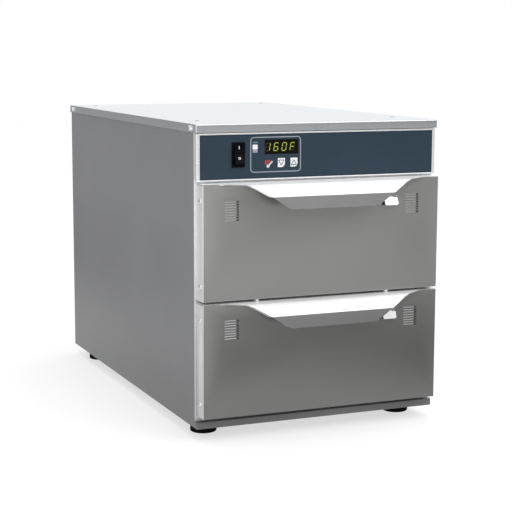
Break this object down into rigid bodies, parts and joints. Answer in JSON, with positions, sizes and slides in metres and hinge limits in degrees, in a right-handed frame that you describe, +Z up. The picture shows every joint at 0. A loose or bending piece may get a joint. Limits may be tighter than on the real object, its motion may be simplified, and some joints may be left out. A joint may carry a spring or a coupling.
{
  "type": "countertop warming drawer",
  "caption": "Narrow countertop food warmer: stacked pan drawers with hooded pulls and sliding vents, a control panel with rocker switch and lit display, on rubber feet.",
  "frame": {"origin": "on the surface that the feet stand on, under the middle of the overall box", "axes": "+X to the right seen from the front, -Y out of the drawer fronts, +Z up"},
  "size_m": [0.4334, 0.784, 0.5049],
  "materials": {
    "black_plastic": "black nylon",
    "board_green": "circuit board with components",
    "cable_jacket": "silicone jacket",
    "casing_steel": "satin brushed stainless steel",
    "core_iron": "laminated iron and coil",
    "cover_steel": "bright brushed stainless steel",
    "digit_light": "lit yellow-green segments",
    "foot_rubber": "matt black rubber",
    "front_steel": "satin brushed stainless steel",
    "key_plastic": "white rubberised plastic",
    "lamp_lens": "pale lens",
    "liner_steel": "aluminised sheet",
    "overlay_film": "slate-blue printed film",
    "pan_steel": "polished stainless steel",
    "plated_steel": "zinc-plated steel",
    "print_grey": "pale grey print",
    "print_red": "red print",
    "print_white": "white print",
    "screw_steel": "bright stainless screws",
    "silicone": "grey silicone",
    "switch_plastic": "black plastic",
    "white_nylon": "white nylon",
    "window_plastic": "dark smoked plastic",
    "wool": "mineral wool blanket"
  },
  "bodies": {
    "cabinet": {"back_panel": "casing_steel", "base_pan": "casing_steel", "cable_straps": "plated_steel", "cavity_floor": "liner_steel", "cavity_shell": "liner_steel", "control_panel": "cover_steel", "control_shelf": "plated_steel", "controller_board": "board_green", "controller_trim": "print_grey", "cord_gland": "black_plastic", "cover_plugs": "screw_steel", "cover_screws": "screw_steel", "display_digits": "digit_light", "display_window": "window_plastic", "drawer_divider": "liner_steel", "feet": "foot_rubber", "foot_screws": "screw_steel", "front_rails": "casing_steel", "heat_symbol": "print_red", "heating_cable": "cable_jacket", "indicator_lamp": "lamp_lens", "insulation": "wool", "left_side_panel": "casing_steel", "panel_overlay": "overlay_film", "rear_screws": "screw_steel", "right_side_panel": "casing_steel", "slide_brackets": "plated_steel", "slide_outer_members": "plated_steel", "switch_housing": "switch_plastic", "temperature_sensor": "screw_steel", "terminal_block": "black_plastic", "thermometer_mark": "print_white", "top_cover": "cover_steel", "transformer": "core_iron"},
    "lower_drawer": {"lower_front_panel": "front_steel", "lower_pull": "front_steel", "lower_inner_panel": "liner_steel", "lower_gasket": "silicone", "lower_side_screws": "screw_steel", "lower_slide_inner": "plated_steel", "lower_pan_carrier": "liner_steel", "lower_food_pan": "pan_steel", "lower_shutter_guides": "liner_steel"},
    "lower_slide_carriage": {"lower_slide_middle": "plated_steel"},
    "lower_shutter": {"lower_vent_shutter": "front_steel"},
    "upper_drawer": {"upper_front_panel": "front_steel", "upper_pull": "front_steel", "upper_inner_panel": "liner_steel", "upper_gasket": "silicone", "upper_side_screws": "screw_steel", "upper_slide_inner": "plated_steel", "upper_pan_carrier": "liner_steel", "upper_food_pan": "pan_steel", "upper_shutter_guides": "liner_steel", "upper_front_buffers": "white_nylon"},
    "upper_slide_carriage": {"upper_slide_middle": "plated_steel"},
    "upper_shutter": {"upper_vent_shutter": "front_steel"},
    "power_rocker": {"rocker": "switch_plastic"},
    "down_key": {"key_down": "key_plastic"},
    "up_key": {"key_up": "key_plastic"}
  },
  "joints": [
    {"name": "lower_drawer_slide", "type": "slide", "parent": "cabinet", "child": "lower_drawer", "axis": [0, -1, 0], "range_m": [0, 0.54]},
    {"name": "lower_carriage_slide", "type": "slide", "parent": "cabinet", "child": "lower_slide_carriage", "axis": [0, -1, 0], "range_m": [0, 0.27]},
    {"name": "lower_shutter_slide", "type": "slide", "parent": "lower_drawer", "child": "lower_shutter", "axis": [-1, 0, 0], "range_m": [0, 0.012]},
    {"name": "upper_drawer_slide", "type": "slide", "parent": "cabinet", "child": "upper_drawer", "axis": [0, -1, 0], "range_m": [0, 0.54]},
    {"name": "upper_carriage_slide", "type": "slide", "parent": "cabinet", "child": "upper_slide_carriage", "axis": [0, -1, 0], "range_m": [0, 0.27]},
    {"name": "upper_shutter_slide", "type": "slide", "parent": "upper_drawer", "child": "upper_shutter", "axis": [-1, 0, 0], "range_m": [0, 0.012]},
    {"name": "rocker_pivot", "type": "hinge", "parent": "cabinet", "child": "power_rocker", "pos_m": [-0.141, -0.3339, 0.455], "axis": [1, 0, 0], "range_deg": [0, 16]},
    {"name": "down_key_press", "type": "slide", "parent": "cabinet", "child": "down_key", "axis": [0, 1, 0], "range_m": [0, 0.0006], "stiffness_N_per_m": 500, "springref_m": -0.001},
    {"name": "up_key_press", "type": "slide", "parent": "cabinet", "child": "up_key", "axis": [0, 1, 0], "range_m": [0, 0.0006], "stiffness_N_per_m": 500, "springref_m": -0.001}
  ],
  "couplings": [
    {"joint": "lower_carriage_slide", "follows": "lower_drawer_slide", "ratio": 0.5},
    {"joint": "upper_carriage_slide", "follows": "upper_drawer_slide", "ratio": 0.5}
  ]
}
